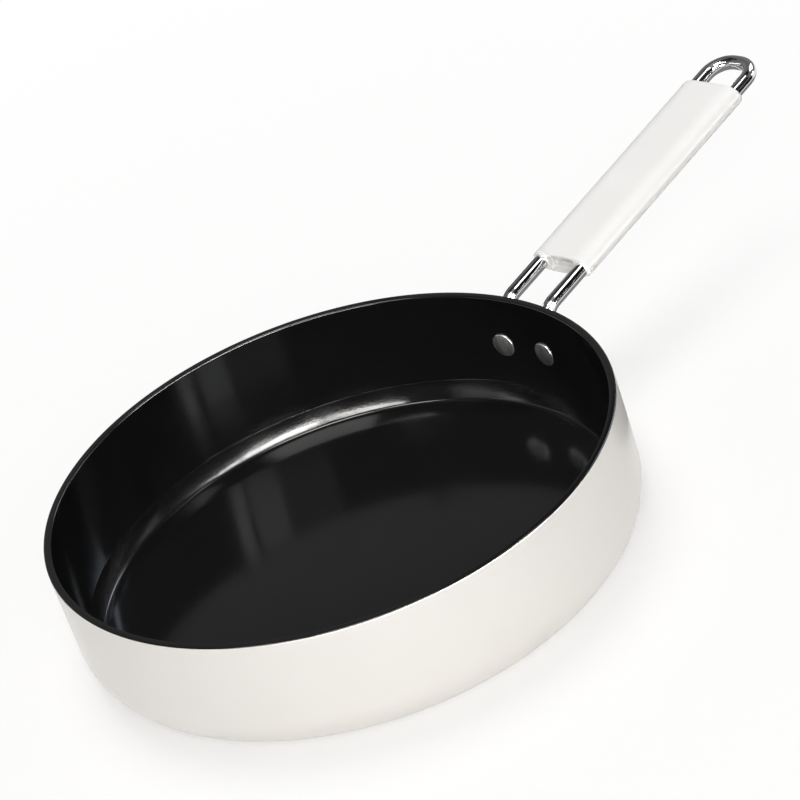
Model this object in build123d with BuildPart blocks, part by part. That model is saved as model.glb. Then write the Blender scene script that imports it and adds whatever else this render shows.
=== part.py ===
from build123d import *
import os
from math import asin, cos, radians, sin, tan

os.makedirs("parts", exist_ok=True)

# Pan body: origin at the middle of the underside, handle along +X
pan_radius = 130.0  # outside, at the rim
pan_height = 60.5  # table to rim
rim_width = 3.7  # flat top of the wall
rim_round = 0.9  # both edges of the rim
wall_draft = 0.2  # outside is this much narrower at the foot of the wall
outer_corner = 20.2  # outside radius between wall and underside
inner_lean = 2.6  # inner wall curves in this far by its foot
floor_height = 6.7  # edge of the cooking floor above the table
floor_crown = 0.5  # middle of the floor above its edge
corner_rise = 9.6  # foot of the inner wall above the floor's edge
corner_inset = 3.4  # floor's edge in from the foot of the inner wall
corner_edge = 8.0  # degrees, faint edge where the wall meets the corner's curve
floor_edge_round = 2.0  # where the corner's curve meets the floor

# Induction base
disc_radius = 98.0
disc_thickness = 1.5
disc_proud = 0.3  # disc stands out of the underside by this
disc_gap = 0.1  # all round the disc in its recess
disc_edge = 0.25  # chamfer of the disc's lower edge

# Handle rod: two rails joined by a hanging loop
rod_radius = 3.4
rod_gap = 0.15  # round rod clear of the wall
rail_spacing = 24.6  # between the rails' axes, at the pan
loop_spacing = 23.8  # between the rails' axes, at the hanging loop
rail_drop = 7.5  # rails' axes below the rim, at the wall
handle_rise = 8.7  # degrees above level
loop_straight = 9.9  # each rail between the grip and the loop's corner
loop_corner = 10.6  # the loop's two corners, along the rod's axis
wall_bend = 8.5  # rod turning down the wall, along its axis
neck_straight = 0.5  # round rod between that turn and its flattening

# Flattened ends of the rod, riveted to the wall
tab_width = 12.4
tab_thickness = 3.0
tab_edge = 0.9  # rounding of the outer edges
tab_shoulder = 0.4  # flat part reaches this far above the clinch
tab_seat = 0.5  # depth pressed to the curve of the wall
rivet_drop = 25.0  # rivets' axes below the rim

# Rivets
rivet_spacing = 26.2  # between their axes, at the outside of the wall
shank_radius = 3.0
shank_gap = 0.05  # shank in its holes
head_radius = 5.9
head_rise = 1.3  # domed head inside the pan
head_lip = 0.4  # upright edge under the dome
clinch_radius = 4.8
clinch_rise = 2.0  # domed end on the tab
clinch_lip = 0.4

# Grip sleeve
grip_start = 32.2  # wall to the grip, along the handle
grip_length = 123.4
grip_width_near = 34.8
grip_width_far = 35.2
grip_thickness_near = 11.3
grip_thickness_far = 11.8
grip_side_share = 0.5  # of the half width, taken by the rounded side
grip_end_edge_near = 0.4  # chamfer
grip_end_round_far = 1.6
channel_gap = 0.1  # round the rods inside the grip
mouth_wall = 0.8  # between the hollow at the pan's end and the channels beside it
mouth_skin = 1.75  # above and below the hollow
mouth_corner = 1.2
mouth_step = 0.5  # each step of the hollow is smaller by this, all round
mouth_depth = 2.4  # each step
mouth_steps = 3
pocket_depth = 30.0  # hollow past its steps

cut_overrun = 5.0  # cuts run on past the faces that they open

# Places worked out from the sizes above
rim_inner = pan_radius - rim_width
wall_foot_radius = rim_inner - inner_lean
floor_radius = wall_foot_radius - corner_inset
wall_foot_height = floor_height + corner_rise
underside = disc_proud
outer_foot_height = underside + outer_corner
outer_foot_radius = pan_radius - wall_draft
base_radius = outer_foot_radius - outer_corner
rivet_height = pan_height - rivet_drop
rivet_turn = asin(rivet_spacing / 2 / pan_radius)
rod_axis_radius = pan_radius + rod_gap + rod_radius
rail_turn = asin(rail_spacing / 2 / rod_axis_radius)
rise = radians(handle_rise)
channel_radius = rod_radius + channel_gap
shoulder_rise = clinch_radius + tab_shoulder
rail_start = Vector(pan_radius, 0, pan_height - rail_drop)
along = Vector(cos(rise), 0, sin(rise))
handle_reach = grip_start + grip_length + loop_straight + loop_corner


def across_handle(reach):
    """Plane square to the handle, with its own Y upright."""
    return Plane(origin=rail_start + along * reach, x_dir=(0, -1, 0), z_dir=along)


def around(turn, radius, height):
    """Point at a turn about the pan's axis, counted from the handle."""
    return Vector(radius * cos(turn), radius * sin(turn), height)


def rivet_plane(side, radius):
    """Plane square to one rivet's axis, looking out from the pan, with its own Y up."""
    turn = rivet_turn * side
    out = Vector(cos(turn), sin(turn), 0)
    return Plane(origin=around(turn, radius, rivet_height), x_dir=(-out.Y, out.X, 0), z_dir=out)


def level_plane(turn, radius, height):
    """Level plane by the wall, with its own X straight out of it."""
    return Plane(origin=around(turn, radius, height), x_dir=(cos(turn), sin(turn), 0), z_dir=(0, 0, 1))


# Pan body
with BuildPart() as pan_body:
    with BuildSketch(Plane.XZ) as body_profile:
        with BuildLine():
            Line((0, underside), (base_radius, underside))
            TangentArc(
                (base_radius, underside), (outer_foot_radius, outer_foot_height), tangent=(1, 0)
            )
            Line((outer_foot_radius, outer_foot_height), (pan_radius, pan_height))
            Line((pan_radius, pan_height), (rim_inner, pan_height))
            inner_wall = TangentArc(
                (rim_inner, pan_height), (wall_foot_radius, wall_foot_height), tangent=(0, -1)
            )
            corner_heading = (inner_wall % 1).rotate(Axis.Z, -corner_edge)
            TangentArc(inner_wall @ 1, (floor_radius, floor_height), tangent=corner_heading)
            TangentArc((0, floor_height + floor_crown), (floor_radius, floor_height), tangent=(1, 0))
            Line((0, floor_height + floor_crown), (0, underside))
        make_face()
        rim_corners = body_profile.vertices().group_by(Axis.Y)[-1]
        fillet(rim_corners, rim_round)
        floor_edge = body_profile.vertices().sort_by_distance((floor_radius, 0, floor_height))[0]
        fillet(floor_edge, floor_edge_round)
    revolve(axis=Axis.Z)
    with BuildSketch(Plane.XY):
        Circle(disc_radius + disc_gap)
    extrude(amount=disc_thickness, mode=Mode.SUBTRACT)
    for side in (1, -1):
        with BuildSketch(rivet_plane(side, floor_radius)):
            Circle(shank_radius + shank_gap)
        extrude(amount=pan_radius - floor_radius + cut_overrun, mode=Mode.SUBTRACT)
pan_body.part.label = "pan_body"
export_step(pan_body.part, "parts/pan_body.step")

# Induction base
with BuildPart() as induction_base:
    with BuildSketch(Plane.XY):
        Circle(disc_radius)
    extrude(amount=disc_thickness)
    chamfer(induction_base.edges().group_by(Axis.Z)[0], disc_edge)
induction_base.part.label = "induction_base"
export_step(induction_base.part, "parts/induction_base.step")

# Handle rod
bend_run = wall_bend * tan((radians(90) - rise) / 2)


def wall_corner(side):
    """Where a rail's axis, drawn straight on, meets the axis of its upright stretch."""
    foot = around(rail_turn * side, rod_axis_radius, rail_start.Z)
    return foot + Vector(0, 0, (foot.X - pan_radius) * tan(rise))


def loop_point(side):
    end = rail_start + along * handle_reach
    return Vector(end.X, side * loop_spacing / 2, end.Z)


neck_top = wall_corner(1).Z - bend_run - neck_straight


def make_tab(side):
    """Flattened end of one rail, seated on the wall, and the neck that rounds off above it."""
    seat = rivet_plane(side, pan_radius - tab_seat)
    with BuildPart() as tab:
        with BuildSketch(seat):
            Rectangle(tab_width, shoulder_rise, align=(Align.CENTER, Align.MIN))
            Circle(tab_width / 2)
        extrude(amount=tab_seat + tab_thickness)
        outer_face = tab.faces().sort_by(Axis(seat.origin, seat.z_dir))[-1]
        fillet(outer_face.edges().sort_by(Axis.Z)[:-1], tab_edge)
        with BuildSketch(
            level_plane(rivet_turn * side, pan_radius - tab_seat, rivet_height + shoulder_rise)
        ) as tab_section:
            Rectangle(tab_seat + tab_thickness, tab_width, align=(Align.MIN, Align.CENTER))
            fillet(tab_section.vertices().group_by(Axis.X)[-1], tab_edge)
        with BuildSketch(level_plane(rail_turn * side, rod_axis_radius, neck_top)):
            Circle(rod_radius)
        loft()
        with BuildSketch(seat):
            Circle(shank_radius + shank_gap)
        extrude(amount=tab_seat + tab_thickness, mode=Mode.SUBTRACT)
        Cylinder(
            pan_radius, pan_height, align=(Align.CENTER, Align.CENTER, Align.MIN), mode=Mode.SUBTRACT
        )
    return tab.part


left_tab = make_tab(1)
right_tab = make_tab(-1)

with BuildPart() as handle_rod:
    with BuildLine() as rod_path:
        FilletPolyline(
            around(rail_turn, rod_axis_radius, neck_top),
            wall_corner(1),
            loop_point(1),
            loop_point(-1),
            wall_corner(-1),
            around(-rail_turn, rod_axis_radius, neck_top),
            radius=[wall_bend, loop_corner, loop_corner, wall_bend],
        )
    with BuildSketch(level_plane(rail_turn, rod_axis_radius, neck_top)):
        Circle(rod_radius)
    sweep(path=rod_path.line)
    add(left_tab)
    add(right_tab)
handle_rod.part.label = "handle_rod"
export_step(handle_rod.part, "parts/handle_rod.step")


# Grip sleeve
def grip_section(reach, width, thickness):
    """Flat oval square to the handle: level top and bottom, sides rounded as half ellipses."""
    side_reach = width / 2 * grip_side_share
    flat = width / 2 - side_reach
    with BuildSketch(across_handle(reach)) as section:
        Rectangle(2 * flat, thickness)
        with Locations((-flat, 0), (flat, 0)):
            Ellipse(side_reach, thickness / 2)
    return section.sketch


def rail_plane(side):
    """Plane square to one rail, short of the grip's near end."""
    corner = wall_corner(side)
    rail = (loop_point(side) - corner).normalized()
    return Plane(origin=corner + rail * (grip_start - cut_overrun), z_dir=rail)


near_section = grip_section(grip_start, grip_width_near, grip_thickness_near)
far_section = grip_section(grip_start + grip_length, grip_width_far, grip_thickness_far)
mouth_width = rail_spacing - 2 * channel_radius - 2 * mouth_wall
mouth_height = grip_thickness_near - 2 * mouth_skin
mouth_depths = [(step + 1) * mouth_depth for step in range(mouth_steps)] + [pocket_depth]

with BuildPart() as grip_sleeve:
    loft(sections=[near_section, far_section])
    chamfer(grip_sleeve.faces().sort_by(Axis.X)[0].edges(), grip_end_edge_near)
    fillet(grip_sleeve.faces().sort_by(Axis.X)[-1].edges(), grip_end_round_far)
    for side in (1, -1):
        with BuildSketch(rail_plane(side)):
            Circle(channel_radius)
        extrude(amount=grip_length + 2 * cut_overrun, mode=Mode.SUBTRACT)
    for step, depth in enumerate(mouth_depths):
        with BuildSketch(across_handle(grip_start)):
            RectangleRounded(
                mouth_width - 2 * step * mouth_step, mouth_height - 2 * step * mouth_step, mouth_corner
            )
        extrude(amount=depth, mode=Mode.SUBTRACT)
grip_sleeve.part.label = "grip_sleeve"
export_step(grip_sleeve.part, "parts/grip_sleeve.step")


# Rivets
def make_rivet(side):
    """Solid rivet through wall and tab: domed head inside the pan, domed clinch on the tab."""
    turn = rivet_turn * side
    middle = Vector(0, 0, rivet_height)
    axis_plane = Plane(origin=middle, x_dir=(-sin(turn), cos(turn), 0), z_dir=(0, 0, -1))
    drop_share = rivet_drop / (pan_height - wall_foot_height)
    head_face = rim_inner - inner_lean * drop_share**2
    head_top = head_face - head_rise
    in_wall = pan_radius - rim_width / 2
    tab_face = pan_radius + tab_thickness
    clinch_top = tab_face + clinch_rise
    with BuildPart() as rivet:
        with BuildSketch(axis_plane):
            with BuildLine():
                Line((0, head_top), (0, clinch_top))
                TangentArc((0, clinch_top), (clinch_radius, tab_face + clinch_lip), tangent=(1, 0))
                Polyline(
                    (clinch_radius, tab_face + clinch_lip),
                    (clinch_radius, tab_face),
                    (shank_radius, tab_face),
                    (shank_radius, in_wall),
                    (head_radius, in_wall),
                    (head_radius, head_face - head_lip),
                )
                TangentArc((0, head_top), (head_radius, head_face - head_lip), tangent=(1, 0))
            make_face()
        revolve(axis=Axis(middle, axis_plane.y_dir))
        add(pan_body.part, mode=Mode.SUBTRACT)
    return rivet


rivet_left = make_rivet(1)
rivet_left.part.label = "rivet_left"
export_step(rivet_left.part, "parts/rivet_left.step")

rivet_right = make_rivet(-1)
rivet_right.part.label = "rivet_right"
export_step(rivet_right.part, "parts/rivet_right.step")
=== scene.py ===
import bpy
from math import asin, cos, exp, pi, radians, sin, tan
from mathutils import Matrix, Quaternion, Vector


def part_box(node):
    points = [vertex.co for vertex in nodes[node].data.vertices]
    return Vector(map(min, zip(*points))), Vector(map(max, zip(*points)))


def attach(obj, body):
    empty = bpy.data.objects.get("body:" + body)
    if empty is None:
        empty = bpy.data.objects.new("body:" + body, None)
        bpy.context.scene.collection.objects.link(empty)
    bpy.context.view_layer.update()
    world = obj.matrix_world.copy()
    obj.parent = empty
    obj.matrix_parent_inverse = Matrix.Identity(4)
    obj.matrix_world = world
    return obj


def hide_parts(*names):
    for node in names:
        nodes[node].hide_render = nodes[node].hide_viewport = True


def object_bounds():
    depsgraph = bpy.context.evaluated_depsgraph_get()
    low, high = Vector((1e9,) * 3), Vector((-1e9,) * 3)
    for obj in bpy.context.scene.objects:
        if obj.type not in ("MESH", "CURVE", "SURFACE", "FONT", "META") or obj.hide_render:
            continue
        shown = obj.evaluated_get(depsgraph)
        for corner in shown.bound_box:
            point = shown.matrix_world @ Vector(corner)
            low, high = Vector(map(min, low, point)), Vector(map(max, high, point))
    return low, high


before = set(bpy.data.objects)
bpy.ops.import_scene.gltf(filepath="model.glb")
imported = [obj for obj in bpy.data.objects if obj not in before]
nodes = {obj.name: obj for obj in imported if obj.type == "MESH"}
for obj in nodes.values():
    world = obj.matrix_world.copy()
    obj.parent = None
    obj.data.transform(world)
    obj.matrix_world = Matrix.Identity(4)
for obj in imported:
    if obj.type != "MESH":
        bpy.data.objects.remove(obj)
cadLow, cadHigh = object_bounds()
mm = 0.001
mergeDistance = 0.001 * mm
smoothAngle = radians(28)
white = (1, 1, 1, 1)
panLow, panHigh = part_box("pan_body")
print("frame loaded:", ", ".join(sorted(nodes)))


# outlines are lists of (radius, height) in metres, walked along the surface


def turned(heading, angle):
    return Vector((
        heading[0] * cos(angle) - heading[1] * sin(angle),
        heading[0] * sin(angle) + heading[1] * cos(angle),
    ))


def arcTo(start, end, heading, steps):
    start, end, heading = Vector(start), Vector(end), Vector(heading).normalized()
    chord = end - start
    half = -heading.angle_signed(chord)  # Blender's sign runs clockwise
    points = []
    for step in range(1, steps + 1):
        part = half * step / steps
        reach = chord.length * sin(part) / sin(half)
        points.append(start + turned(heading, part) * reach)
    return points, turned(heading, 2 * half)


def roundedCorner(before, corner, after, radius, steps):
    before, corner, after = Vector(before), Vector(corner), Vector(after)
    inward = (corner - before).normalized()
    outward = (after - corner).normalized()
    bend = abs(inward.angle(outward))
    setBack = radius * tan(bend / 2)
    start = corner - inward * setBack
    points, _ = arcTo(start, corner + outward * setBack, inward, steps)
    return [start] + points


def offsetPath(path, depth):
    shifted = []
    for index, point in enumerate(path):
        before = path[max(index - 1, 0)]
        after = path[min(index + 1, len(path) - 1)]
        along = (Vector(after) - Vector(before)).normalized()
        shifted.append(Vector(point) + Vector((along[1], -along[0])) * depth)
    return shifted


def clearSelection():
    if bpy.context.object and bpy.context.object.mode == "EDIT":
        bpy.ops.object.mode_set(mode="OBJECT")
    bpy.ops.object.select_all(action="DESELECT")


def spinOutline(name, outline, steps):
    clearSelection()
    bpy.ops.mesh.primitive_circle_add(vertices=len(outline), radius=mm, location=(0, 0, 0))
    piece = bpy.context.object
    piece.name = piece.data.name = name
    for vertex, (radius, height) in zip(piece.data.vertices, outline):
        vertex.co = (radius, 0, height)
    bpy.ops.object.mode_set(mode="EDIT")
    bpy.ops.mesh.select_all(action="SELECT")
    bpy.ops.mesh.spin(steps=steps, angle=2 * pi, center=(0, 0, 0), axis=(0, 0, 1))
    bpy.ops.mesh.select_all(action="SELECT")
    bpy.ops.mesh.remove_doubles(threshold=mergeDistance)
    bpy.ops.mesh.delete_loose()
    bpy.ops.mesh.select_all(action="SELECT")
    bpy.ops.mesh.normals_make_consistent(inside=False)
    bpy.ops.object.mode_set(mode="OBJECT")
    bpy.ops.object.shade_smooth_by_angle(angle=smoothAngle)
    return piece


def startMaterial(name, metallic=0.0):
    material = bpy.data.materials.new(name)
    material.use_nodes = True
    tree = material.node_tree
    shader = tree.nodes["Principled BSDF"]
    shader.inputs["Metallic"].default_value = metallic
    place = tree.nodes.new("ShaderNodeTexCoord")
    return material, tree, shader, place


def grain(tree, place, size, detail=3.0, stretch=(1, 1, 1)):
    spread = tree.nodes.new("ShaderNodeMapping")
    spread.inputs["Scale"].default_value = stretch
    noise = tree.nodes.new("ShaderNodeTexNoise")
    noise.inputs["Scale"].default_value = 1 / size
    noise.inputs["Detail"].default_value = detail
    tree.links.new(place.outputs["Object"], spread.inputs["Vector"])
    tree.links.new(spread.outputs["Vector"], noise.inputs["Vector"])
    return noise.outputs["Fac"]


def turnedLines(tree, place, size, length):  # fine lines round the pan
    flat = tree.nodes.new("ShaderNodeMapping")
    flat.inputs["Scale"].default_value = (1, 1, 0)
    radius = tree.nodes.new("ShaderNodeVectorMath")
    radius.operation = "LENGTH"
    split = tree.nodes.new("ShaderNodeSeparateXYZ")
    heading = tree.nodes.new("ShaderNodeMath")
    heading.operation = "ARCTAN2"
    mirrored = tree.nodes.new("ShaderNodeMath")
    mirrored.operation = "ABSOLUTE"  # so that the lines meet without a seam
    spread = tree.nodes.new("ShaderNodeMath")
    spread.operation = "MULTIPLY"
    spread.inputs[1].default_value = length
    join = tree.nodes.new("ShaderNodeCombineXYZ")
    noise = tree.nodes.new("ShaderNodeTexNoise")
    noise.inputs["Scale"].default_value = 1 / size
    tree.links.new(place.outputs["Object"], flat.inputs["Vector"])
    tree.links.new(flat.outputs["Vector"], radius.inputs[0])
    tree.links.new(place.outputs["Object"], split.inputs["Vector"])
    tree.links.new(split.outputs["Y"], heading.inputs[0])
    tree.links.new(split.outputs["X"], heading.inputs[1])
    tree.links.new(heading.outputs["Value"], mirrored.inputs[0])
    tree.links.new(mirrored.outputs["Value"], spread.inputs[0])
    tree.links.new(radius.outputs["Value"], join.inputs["X"])
    tree.links.new(spread.outputs["Value"], join.inputs["Y"])
    tree.links.new(split.outputs["Z"], join.inputs["Z"])
    tree.links.new(join.outputs["Vector"], noise.inputs["Vector"])
    return noise.outputs["Fac"]


def between(tree, value, low, high, start=0.3, end=0.7):
    spread = tree.nodes.new("ShaderNodeMapRange")
    spread.inputs["From Min"].default_value = start
    spread.inputs["From Max"].default_value = end
    spread.inputs["To Min"].default_value = low
    spread.inputs["To Max"].default_value = high
    tree.links.new(value, spread.inputs["Value"])
    return spread.outputs["Result"]


def levelRamp(tree, value, levels, blend="LINEAR"):
    ramp = tree.nodes.new("ShaderNodeValToRGB")
    ramp.color_ramp.interpolation = blend
    stops = ramp.color_ramp.elements
    stops.remove(stops[1])
    for index, (position, level) in enumerate(levels):
        stop = stops.new(position) if index else stops[0]
        stop.position = position
        stop.color = (level, level, level, 1)
    tree.links.new(value, ramp.inputs["Fac"])
    return ramp.outputs["Color"]


def blendColour(tree, value, first, second):
    mix = tree.nodes.new("ShaderNodeMix")
    mix.data_type = "RGBA"
    mix.inputs["A"].default_value = (*first, 1)
    mix.inputs["B"].default_value = (*second, 1)
    tree.links.new(value, mix.inputs["Factor"])
    return mix.outputs["Result"]


def bumpBy(tree, shader, height, depth):
    bump = tree.nodes.new("ShaderNodeBump")
    bump.inputs["Strength"].default_value = 1
    bump.inputs["Distance"].default_value = depth
    tree.links.new(height, bump.inputs["Height"])
    tree.links.new(bump.outputs["Normal"], shader.inputs["Normal"])


def clouded(tree, shader, place, finish):  # uneven colour and roughness, and a fine bump
    cloud = between(tree, grain(tree, place, finish["cloudSize"]), 0, 1)
    tree.links.new(blendColour(tree, cloud, *finish["colours"]), shader.inputs["Base Color"])
    rough = between(tree, grain(tree, place, finish["roughSize"]), *finish["roughness"])
    tree.links.new(rough, shader.inputs["Roughness"])
    fine = grain(tree, place, finish["bumpSize"], finish["bumpDetail"])
    bumpBy(tree, shader, fine, finish["bumpDepth"])


# in each finish: colours and roughness from and to, sizes of their grain, depth of the bump

lacquer = {
    "colours": ((0.835, 0.812, 0.778), (0.85, 0.828, 0.796)),
    "cloudSize": 50 * mm,
    "roughness": (0.3, 0.38),
    "roughSize": 12 * mm,
    "bumpSize": 1.1 * mm,
    "bumpDetail": 2,
    "bumpDepth": 0.02 * mm,
    "coatWeight": 0.5,
    "coatRoughness": 0.12,
}


def makeLacquer():
    material, tree, shader, place = startMaterial("warmWhiteLacquer")
    clouded(tree, shader, place, lacquer)
    shader.inputs["Coat Weight"].default_value = lacquer["coatWeight"]
    shader.inputs["Coat Roughness"].default_value = lacquer["coatRoughness"]
    return material


nonStick = {
    "colours": ((0.007, 0.007, 0.0072), (0.018, 0.019, 0.021)),
    "speckSize": 1.1 * mm,
    "speckEdge": (0.10, 0.16),  # shares of a speck's cell
    "roughness": (0.1, 0.15),
    "roughSize": 20 * mm,
    "bumpSize": 1.4 * mm,
    "bumpDetail": 2,
    "lineSize": 1.6 * mm,
    "lineLength": 12 * mm,  # of noise per radian round the pan
    "bumpDepth": 0.012 * mm,
}


def makeNonStick():
    material, tree, shader, place = startMaterial("glossyNonStick")
    specks = tree.nodes.new("ShaderNodeTexVoronoi")
    specks.inputs["Scale"].default_value = 1 / nonStick["speckSize"]
    tree.links.new(place.outputs["Object"], specks.inputs["Vector"])
    dots = between(tree, specks.outputs["Distance"], 1, 0, *nonStick["speckEdge"])
    tree.links.new(blendColour(tree, dots, *nonStick["colours"]), shader.inputs["Base Color"])
    rough = between(tree, grain(tree, place, nonStick["roughSize"]), *nonStick["roughness"])
    tree.links.new(rough, shader.inputs["Roughness"])
    total = tree.nodes.new("ShaderNodeMath")
    total.operation = "ADD"
    fine = grain(tree, place, nonStick["bumpSize"], nonStick["bumpDetail"])
    lines = turnedLines(tree, place, nonStick["lineSize"], nonStick["lineLength"])
    tree.links.new(fine, total.inputs[0])
    tree.links.new(lines, total.inputs[1])
    bumpBy(tree, shader, total.outputs["Value"], nonStick["bumpDepth"])
    return material


chrome = {
    "colours": ((0.74, 0.74, 0.75), (0.8, 0.8, 0.81)),
    "cloudSize": 10 * mm,
    "roughness": (0.05, 0.1),
    "roughSize": 4 * mm,
    "bumpSize": 4 * mm,
    "bumpDetail": 1,
    "bumpDepth": 0.0015 * mm,
}


def makeChrome():
    material, tree, shader, place = startMaterial("mirrorChrome", 1.0)
    clouded(tree, shader, place, chrome)
    return material


gripPlastic = {
    "colours": ((0.905, 0.9, 0.885), (0.93, 0.925, 0.91)),
    "cloudSize": 30 * mm,
    "roughness": (0.36, 0.44),
    "roughSize": 6 * mm,
    "bumpSize": 0.7 * mm,
    "bumpDetail": 2,
    "bumpDepth": 0.02 * mm,
}


def makeGripPlastic():
    material, tree, shader, place = startMaterial("warmWhitePlastic")
    clouded(tree, shader, place, gripPlastic)
    return material


rivetSteel = {
    "colours": ((0.5, 0.5, 0.495), (0.64, 0.64, 0.63)),
    "roughness": (0.28, 0.4),
    "streakSize": 1.2 * mm,
    "streakDetail": 3,
    "streakStretch": (1, 1, 0.12),
    "bumpDepth": 0.02 * mm,
}


def makeRivetSteel():
    material, tree, shader, place = startMaterial("satinRivetSteel", 1.0)
    streaks = grain(
        tree, place, rivetSteel["streakSize"], rivetSteel["streakDetail"], rivetSteel["streakStretch"],
    )
    mixed = blendColour(tree, between(tree, streaks, 0, 1), *rivetSteel["colours"])
    tree.links.new(mixed, shader.inputs["Base Color"])
    tree.links.new(between(tree, streaks, *rivetSteel["roughness"]), shader.inputs["Roughness"])
    bumpBy(tree, shader, streaks, rivetSteel["bumpDepth"])
    return material


baseSteel = {
    "colours": ((0.48, 0.48, 0.475), (0.58, 0.58, 0.575)),
    "roughness": (0.26, 0.38),
    "roughSize": 20 * mm,
    "ringStep": 0.7 * mm,
    "ringDistortion": 0.6,
    "bumpDepth": 0.02 * mm,
}
waveScale = 20  # Blender's wave texture turns once per 2 pi / 20 of its vector


def makeBaseSteel():
    material, tree, shader, place = startMaterial("turnedBaseSteel", 1.0)
    rings = tree.nodes.new("ShaderNodeTexWave")
    rings.wave_type = "RINGS"
    rings.rings_direction = "Z"
    rings.inputs["Scale"].default_value = 2 * pi / (waveScale * baseSteel["ringStep"])
    rings.inputs["Distortion"].default_value = baseSteel["ringDistortion"]
    tree.links.new(place.outputs["Object"], rings.inputs["Vector"])
    mixed = blendColour(tree, rings.outputs["Fac"], *baseSteel["colours"])
    tree.links.new(mixed, shader.inputs["Base Color"])
    rough = between(tree, grain(tree, place, baseSteel["roughSize"]), *baseSteel["roughness"])
    tree.links.new(rough, shader.inputs["Roughness"])
    bumpBy(tree, shader, rings.outputs["Fac"], baseSteel["bumpDepth"])
    return material


# pan: the metal with its lacquer, and the non-stick coat that lines it and goes over the rim

pan = {
    "rimWidth": 3.7 * mm,
    "rimRound": 0.9 * mm,
    "wallDraft": 0.2 * mm,
    "outerCorner": 20.2 * mm,
    "innerLean": 2.6 * mm,
    "cornerRise": 9.6 * mm,
    "cornerInset": 3.4 * mm,
    "floorHeight": 6.7 * mm,
    "floorCrown": 0.5 * mm,
    "cornerEdge": radians(8),  # faint edge where the wall meets the corner's curve
    "floorEdgeRound": 2.0 * mm,
    "grooveDepth": 0.03 * mm,  # turned groove along that edge
    "grooveWidth": 0.3 * mm,
    "rimSteps": 8,
    "lacquerSteps": 3,  # of the rim's outer rounding, below the coat
    "discRecess": 1.5 * mm,
    "discGap": 0.1 * mm,
    "coatDepth": 0.12 * mm,
    "wallSteps": 300,
    "wallKept": 10,  # steps next to the corner that all stay
    "wallThinning": 12,
    "coveSteps": 70,
    "coveKept": 10,
    "coveThinning": 5,
    "crownSteps": 40,
    "edgeSteps": 10,
    "cornerSteps": 28,
    "spinSteps": 288,
}


def thinned(points, kept, step):
    return points[:kept] + points[kept::step]


def withGroove(path, foot):
    grooved = []
    for index, point in enumerate(path):
        away = (point - foot).length / pan["grooveWidth"]
        along = (path[min(index + 1, len(path) - 1)] - path[max(index - 1, 0)]).normalized()
        outward = Vector((-along.y, along.x))
        grooved.append(point + outward * pan["grooveDepth"] * exp(-away * away))
    return grooved


def coatPath():
    outside = panHigh.y
    top = panHigh.z
    rimInner = outside - pan["rimWidth"]
    wallFoot = Vector((rimInner - pan["innerLean"], pan["floorHeight"] + pan["cornerRise"]))
    floorEdge = Vector((wallFoot.x - pan["cornerInset"], pan["floorHeight"]))
    middle = Vector((0, pan["floorHeight"] + pan["floorCrown"]))
    outerCorner, innerCorner = Vector((outside, top)), Vector((rimInner, top))
    wall, wallHeading = arcTo(innerCorner, wallFoot, (0, -1), pan["wallSteps"])
    wall = thinned(wall[::-1], pan["wallKept"], pan["wallThinning"])[::-1]
    coveStart = turned(wallHeading, -pan["cornerEdge"])
    cove, coveHeading = arcTo(wallFoot, floorEdge, coveStart, pan["coveSteps"])
    cove = thinned(cove, pan["coveKept"], pan["coveThinning"])
    crown, _ = arcTo(middle, floorEdge, (1, 0), pan["crownSteps"])
    crown.reverse()
    below = outerCorner - Vector((0, pan["rimRound"]))
    path = roundedCorner(below, outerCorner, innerCorner, pan["rimRound"], pan["rimSteps"])
    path += roundedCorner(outerCorner, innerCorner, wall[0], pan["rimRound"], pan["rimSteps"])
    path += withGroove([point for point in wall if point.y < path[-1].y] + cove, wallFoot)
    above = floorEdge - coveHeading * mm
    edge = roundedCorner(above, floorEdge, crown[1], pan["floorEdgeRound"], pan["edgeSteps"])
    path = [point for point in path if point.y > edge[0].y] + edge
    path += [point for point in crown if point.x < edge[-1].x]
    return path + [middle]


def makePan():
    whole = coatPath()
    lacquered, path = whole[:pan["lacquerSteps"]], whole[pan["lacquerSteps"]:]
    inner = offsetPath(path, -pan["coatDepth"])
    inner[-1].x = 0
    coat = spinOutline("nonStickCoat", path + inner[::-1], pan["spinSteps"])
    bottom = panLow.z
    wallFoot = Vector((panHigh.y - pan["wallDraft"], bottom + pan["outerCorner"]))
    baseRadius = wallFoot.x - pan["outerCorner"]
    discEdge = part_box("induction_base")[1].y + pan["discGap"]
    corner, _ = arcTo((baseRadius, bottom), wallFoot, (1, 0), pan["cornerSteps"])
    recess = pan["discRecess"]
    outline = [(0, recess), (discEdge, recess), (discEdge, bottom), (baseRadius, bottom)]
    outline += corner + lacquered + [path[0]] + inner
    shell = spinOutline("lacqueredShell", outline, pan["spinSteps"])
    for piece, material, slot in (
        (coat, makeNonStick(), "nonstick_coat"),
        (shell, makeLacquer(), "lacquered_aluminium"),
    ):
        piece.data.materials.append(material)
        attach(piece, "root")
        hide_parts("pan_body")
    print("pan made")


makePan()

# rivets: outlines are (radius, reach out from the middle of the pan)

rivet = {
    "spacing": 26.2 * mm,
    "headRadius": 5.9 * mm,
    "headRise": 1.3 * mm,
    "headLip": 0.4 * mm,
    "headSink": 0.6 * mm,  # the head's foot lies this far inside the wall
    "edgeRound": 0.5 * mm,
    "shankRadius": 3.0 * mm,
    "clinchRadius": 4.8 * mm,
    "clinchRise": 2.0 * mm,
    "clinchLip": 0.4 * mm,
    "domeSteps": 16,
    "edgeSteps": 6,
    "spinSteps": 96,
}


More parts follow.
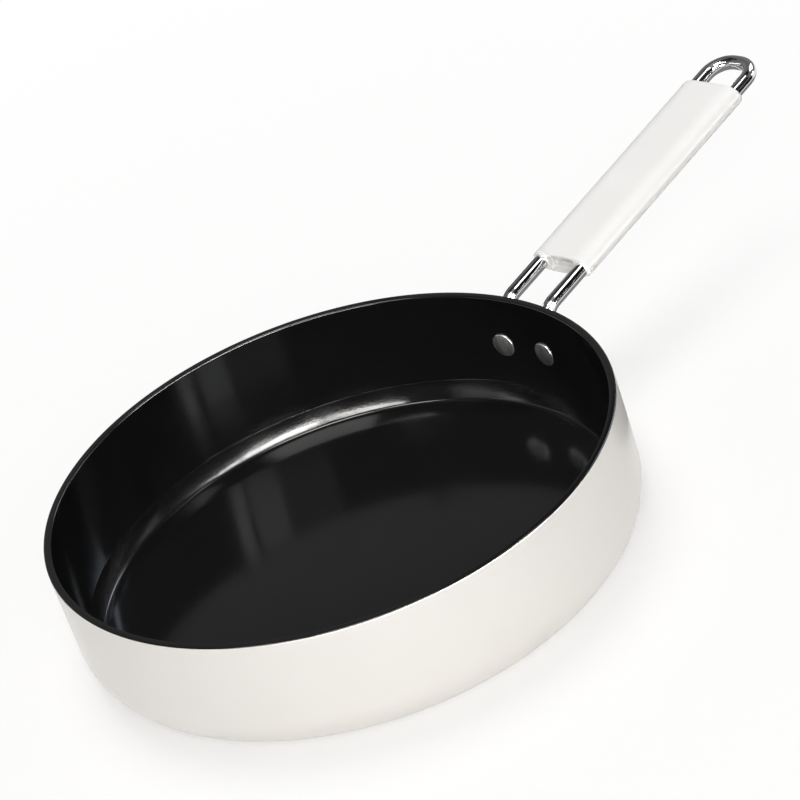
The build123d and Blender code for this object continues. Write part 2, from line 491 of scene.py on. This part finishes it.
def domeOutline(top, radius, foot, lip):
    start = Vector((0, top))
    edge = Vector((radius, foot - lip))
    dome, heading = arcTo(start, edge, (1, 0), rivet["domeSteps"])
    before, after = edge - heading * mm, Vector((radius, foot))
    rounded = roundedCorner(before, edge, after, rivet["edgeRound"], rivet["edgeSteps"])
    return [start] + [point for point in dome if point.x < rounded[0].x] + rounded


def makeRivet(nodeName, side, material):
    turn = asin(rivet["spacing"] / 2 / panHigh.y) * side
    out = Vector((cos(turn), sin(turn), 0))
    node = nodes[nodeName]
    reaches = [out.dot(node.matrix_world @ vertex.co) for vertex in node.data.vertices]
    headTop, clinchTop = min(reaches), max(reaches)
    headFoot, tabFace = headTop + rivet["headRise"], clinchTop - rivet["clinchRise"]
    low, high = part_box(nodeName)
    outline = domeOutline(headTop, rivet["headRadius"], headFoot, rivet["headLip"])
    sunk = headFoot + rivet["headSink"]
    outline += [Vector((rivet["headRadius"], sunk)), Vector((rivet["shankRadius"], sunk))]
    outline += [Vector((rivet["shankRadius"], tabFace)), Vector((rivet["clinchRadius"], tabFace))]
    clinch = domeOutline(-clinchTop, rivet["clinchRadius"], -tabFace, rivet["clinchLip"])
    outline += [Vector((point.x, -point.y)) for point in clinch[::-1]]
    piece = spinOutline(nodeName.replace("_l", "L").replace("_r", "R"), outline, rivet["spinSteps"])
    upright = Matrix.Translation((0, 0, (low.z + high.z) / 2))
    piece.data.transform(upright @ Matrix.Rotation(turn, 4, "Z") @ Matrix.Rotation(pi / 2, 4, "Y"))
    piece.data.materials.append(material)
    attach(piece, "root")
    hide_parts(nodeName)


rivetMaterial = makeRivetSteel()
makeRivet("rivet_left", 1, rivetMaterial)
makeRivet("rivet_right", -1, rivetMaterial)
print("rivets made")

for nodeName, material in (
    ("induction_base", makeBaseSteel()),
    ("handle_rod", makeChrome()),
    ("grip_sleeve", makeGripPlastic()),
):
    nodes[nodeName].data.materials.clear()
    nodes[nodeName].data.materials.append(material)
print("metal and plastic pieces finished")


studio = {
    "floorRadius": 6.0,
    "floorSides": 96,
    "floorDrop": 0.1 * mm,
    "floorColour": (0.915, 0.897, 0.875, 1),
    "floorReach": 1.0,
    # distance from the pan's middle, and how far the floor is plain white there
    "floorGlow": ((0.10, 0.3), (0.14, 0.72), (0.25, 0.88), (0.7, 1.0)),
    "ambient": 0.2,
    "ambientColour": (1, 0.975, 0.945, 1),
    "lampDistance": 2.2,
    "cardDistance": 2.0,
    "domeRadius": 3.0,
    "domeSegments": 64,
    "domeRings": 32,
    # height on the dome, as a share of its radius, and how bright it is from there up
    "domeBands": ((-1.0, 0.9), (0.0, 0.01), (0.09, 0.2), (0.55, 0.14), (0.76, 0.012), (0.85, 0.3)),
}

# lamps that light the surfaces: azimuth and elevation from the pan, width, power in watts
fillLamps = {
    "frontFill": (-127, 34, 0.8, 25),
    "topFill": (60, 75, 1.0, 25),
}

# softboxes seen only in the gloss: azimuths, elevations, brightness, colour
softboxes = {
    "frontLeft": ((-165, -131), (4, 15.5), 28, (1, 0.98, 0.95)),
    "frontMiddle": ((-129, -94), (4, 15.5), 52, (1, 0.99, 0.97)),
    "frontRight": ((-92, -58), (4, 15.5), 36, (1, 0.99, 0.97)),
    "overFront": ((-165, -95), (60, 80), 12, (1, 0.99, 0.97)),
    "windowFaint": ((-126, -101), (24, 45), 1.6, (1, 1, 1)),
    "windowWide": ((-101, -87), (24, 45), 6, (0.95, 0.97, 1)),
    "windowNarrow": ((-84, -78), (24, 45), 9, (0.95, 0.97, 1)),
    "sideStrip": ((-56, -18), (5, 14), 10, (0.93, 0.96, 1)),
    "coolSide": ((-10, 14), (22, 44), 5, (0.78, 0.87, 1)),
    "highSide": ((-50, -5), (58, 66), 5, (0.95, 0.97, 1)),
    "overPan": ((165, 195), (47, 62), 10, (1, 1, 1)),
    "handleSide": ((96, 156), (10, 21), 1.6, (1, 0.98, 0.95)),
}

# upright flags beside the handle, seen only in the gloss of its wire: x, y, z, brightness
flags = {
    "nearFlag": ((0.17, 0.42), -0.11, (0.03, 0.115), 0.0),
    "farFlag": ((0.14, 0.42), 0.12, (0.01, 0.105), 0.07),
}

# level cards over and under the handle: x, y, z, brightness
levelCards = {
    "overFlag": ((0.12, 0.30), (0, 0.14), 0.25, 0.03),
    "greyCard": ((0.14, 0.42), (-0.10, 0.10), 0.001, 0.25),
}
darkWindow = ((-73, -42), (24, 46))  # azimuths and elevations of a black card farther out

cameraSettings = {
    "azimuth": -37.37,
    "elevation": 30.33,
    "roll": -19.70,
    "distance": 1.8437,
    "aim": (0.0645, 0.0206, 0.0445),
    "lens": 185.7,
}


def makeFloor():
    clearSelection()
    bpy.ops.mesh.primitive_circle_add(
        vertices=studio["floorSides"], radius=studio["floorRadius"], fill_type="NGON", location=(0, 0, 0),
    )
    floor = bpy.context.object
    floor.name = "studioFloor"
    for vertex in floor.data.vertices:
        vertex.co.z = cadLow.z - studio["floorDrop"]
    material = bpy.data.materials.new("paleFloor")
    material.use_nodes = True
    tree = material.node_tree
    tree.nodes.clear()
    output = tree.nodes.new("ShaderNodeOutputMaterial")
    matt = tree.nodes.new("ShaderNodeBsdfDiffuse")
    matt.inputs["Color"].default_value = studio["floorColour"]
    glow = tree.nodes.new("ShaderNodeEmission")
    clear = tree.nodes.new("ShaderNodeBsdfTransparent")
    place = tree.nodes.new("ShaderNodeTexCoord")
    distance = tree.nodes.new("ShaderNodeVectorMath")
    distance.operation = "LENGTH"
    tree.links.new(place.outputs["Object"], distance.inputs[0])
    away = between(tree, distance.outputs["Value"], 0, 1, 0, studio["floorReach"])
    share = levelRamp(tree, away, studio["floorGlow"])
    seen = seenDirectly(tree)
    amount = tree.nodes.new("ShaderNodeMath")
    amount.operation = "MULTIPLY"
    tree.links.new(share, amount.inputs[0])
    tree.links.new(seen, amount.inputs[1])
    mix = tree.nodes.new("ShaderNodeMixShader")
    tree.links.new(amount.outputs["Value"], mix.inputs["Fac"])
    tree.links.new(matt.outputs["BSDF"], mix.inputs[1])
    tree.links.new(glow.outputs["Emission"], mix.inputs[2])
    geometry = tree.nodes.new("ShaderNodeNewGeometry")
    side = tree.nodes.new("ShaderNodeMixShader")  # open from below, so the underside can be looked at
    tree.links.new(geometry.outputs["Backfacing"], side.inputs["Fac"])
    tree.links.new(mix.outputs["Shader"], side.inputs[1])
    tree.links.new(clear.outputs["BSDF"], side.inputs[2])
    tree.links.new(side.outputs["Shader"], output.inputs["Surface"])
    floor.data.materials.append(material)


def seenDirectly(tree):
    rays = tree.nodes.new("ShaderNodeLightPath")
    first = tree.nodes.new("ShaderNodeMath")
    first.operation = "MAXIMUM"
    second = tree.nodes.new("ShaderNodeMath")
    second.operation = "MAXIMUM"
    tree.links.new(rays.outputs["Is Camera Ray"], first.inputs[0])
    tree.links.new(rays.outputs["Is Glossy Ray"], first.inputs[1])
    tree.links.new(first.outputs["Value"], second.inputs[0])
    tree.links.new(rays.outputs["Is Transmission Ray"], second.inputs[1])
    return second.outputs["Value"]


def makeWorld():
    world = bpy.data.worlds.new("whiteStudio")
    bpy.context.scene.world = world
    world.use_nodes = True
    tree = world.node_tree
    tree.nodes.clear()
    output = tree.nodes.new("ShaderNodeOutputWorld")
    soft = tree.nodes.new("ShaderNodeBackground")
    soft.inputs["Color"].default_value = studio["ambientColour"]
    soft.inputs["Strength"].default_value = studio["ambient"]
    plain = tree.nodes.new("ShaderNodeBackground")
    plain.inputs["Color"].default_value = white
    plain.inputs["Strength"].default_value = 1
    mix = tree.nodes.new("ShaderNodeMixShader")
    tree.links.new(seenDirectly(tree), mix.inputs["Fac"])
    tree.links.new(soft.outputs["Background"], mix.inputs[1])
    tree.links.new(plain.outputs["Background"], mix.inputs[2])
    tree.links.new(mix.outputs["Shader"], output.inputs["Surface"])


def makeDome():  # the dark room round the pan, seen only in reflections
    clearSelection()
    bpy.ops.mesh.primitive_uv_sphere_add(
        segments=studio["domeSegments"], ring_count=studio["domeRings"],
        radius=studio["domeRadius"], location=(0, 0, 0),
    )
    dome = bpy.context.object
    dome.name = "studioDome"
    material = bpy.data.materials.new("darkRoom")
    material.use_nodes = True
    tree = material.node_tree
    tree.nodes.clear()
    output = tree.nodes.new("ShaderNodeOutputMaterial")
    glow = tree.nodes.new("ShaderNodeEmission")
    place = tree.nodes.new("ShaderNodeTexCoord")
    split = tree.nodes.new("ShaderNodeSeparateXYZ")
    tree.links.new(place.outputs["Object"], split.inputs["Vector"])
    reach = studio["domeRadius"]
    bands = [((height + 1) / 2, brightness) for height, brightness in studio["domeBands"]]
    upward = between(tree, split.outputs["Z"], 0, 1, -reach, reach)
    tree.links.new(levelRamp(tree, upward, bands, "CONSTANT"), glow.inputs["Color"])
    tree.links.new(glow.outputs["Emission"], output.inputs["Surface"])
    dome.data.materials.append(material)
    dome.visible_camera = dome.visible_diffuse = dome.visible_shadow = False


def makeCard(name, corners, brightness):
    clearSelection()
    bpy.ops.mesh.primitive_plane_add(size=mm, location=(0, 0, 0))
    card = bpy.context.object
    card.name = name
    for loop in card.data.loops:
        card.data.vertices[loop.vertex_index].co = corners[loop.index]
    material = bpy.data.materials.new(name)
    material.use_nodes = True
    tree = material.node_tree
    tree.nodes.clear()
    output = tree.nodes.new("ShaderNodeOutputMaterial")
    glow = tree.nodes.new("ShaderNodeEmission")
    glow.inputs["Color"].default_value = (brightness, brightness, brightness, 1)
    tree.links.new(glow.outputs["Emission"], output.inputs["Surface"])
    card.data.materials.append(material)
    card.visible_camera = card.visible_diffuse = card.visible_shadow = False


def outward(azimuth, elevation):
    around, above = radians(azimuth), radians(elevation)
    return Vector((cos(around) * cos(above), sin(around) * cos(above), sin(above)))


def makeCards():
    for name, ((left, right), y, (low, high), brightness) in flags.items():
        makeCard(name, ((left, y, low), (right, y, low), (right, y, high), (left, y, high)), brightness)
    for name, ((left, right), (near, far), z, brightness) in levelCards.items():
        makeCard(name, ((left, near, z), (right, near, z), (right, far, z), (left, far, z)), brightness)
    (left, right), (low, high) = darkWindow
    places = ((left, low), (right, low), (right, high), (left, high))
    makeCard("darkWindow", [outward(*place) * studio["cardDistance"] for place in places], 0.0)


def aimedLamp(name, azimuth, elevation, width, height, power):
    out = outward(azimuth, elevation)
    clearSelection()
    bpy.ops.object.light_add(type="AREA", location=out * studio["lampDistance"])
    lamp = bpy.context.object
    lamp.name = name
    lamp.rotation_euler = (-out).to_track_quat("-Z", "Y").to_euler()
    lamp.data.shape = "RECTANGLE"
    lamp.data.size, lamp.data.size_y = width, height
    lamp.data.energy = power
    lamp.visible_camera = False
    return lamp


def makeLamps():
    for name, (azimuth, elevation, width, power) in fillLamps.items():
        lamp = aimedLamp(name, azimuth, elevation, width, width, power)
        lamp.visible_glossy = False
    for name, (azimuths, elevations, brightness, colour) in softboxes.items():
        middle, above = sum(azimuths) / 2, sum(elevations) / 2
        around = radians(azimuths[1] - azimuths[0]) / 2
        upward = radians(elevations[1] - elevations[0]) / 2
        width = 2 * studio["lampDistance"] * tan(around) * cos(radians(above))
        height = 2 * studio["lampDistance"] * tan(upward)
        lamp = aimedLamp(name, middle, above, width, height, brightness * pi * width * height)
        lamp.data.color = colour
        lamp.visible_diffuse = False


def makeCamera():
    clearSelection()
    around, above = radians(cameraSettings["azimuth"]), radians(cameraSettings["elevation"])
    back = Vector((sin(around) * cos(above), -cos(around) * cos(above), sin(above)))
    bpy.ops.object.camera_add(location=Vector(cameraSettings["aim"]) + back * cameraSettings["distance"])
    camera = bpy.context.object
    camera.rotation_mode = "QUATERNION"
    straight = (-back).to_track_quat("-Z", "Y")
    camera.rotation_quaternion = straight @ Quaternion((0, 0, 1), radians(cameraSettings["roll"]))
    camera.data.lens = cameraSettings["lens"]
    bpy.context.scene.camera = camera


makeFloor()
makeDome()
makeCards()
makeWorld()
makeLamps()
makeCamera()
bpy.context.scene.view_settings.view_transform = "Standard"
print("studio ready")
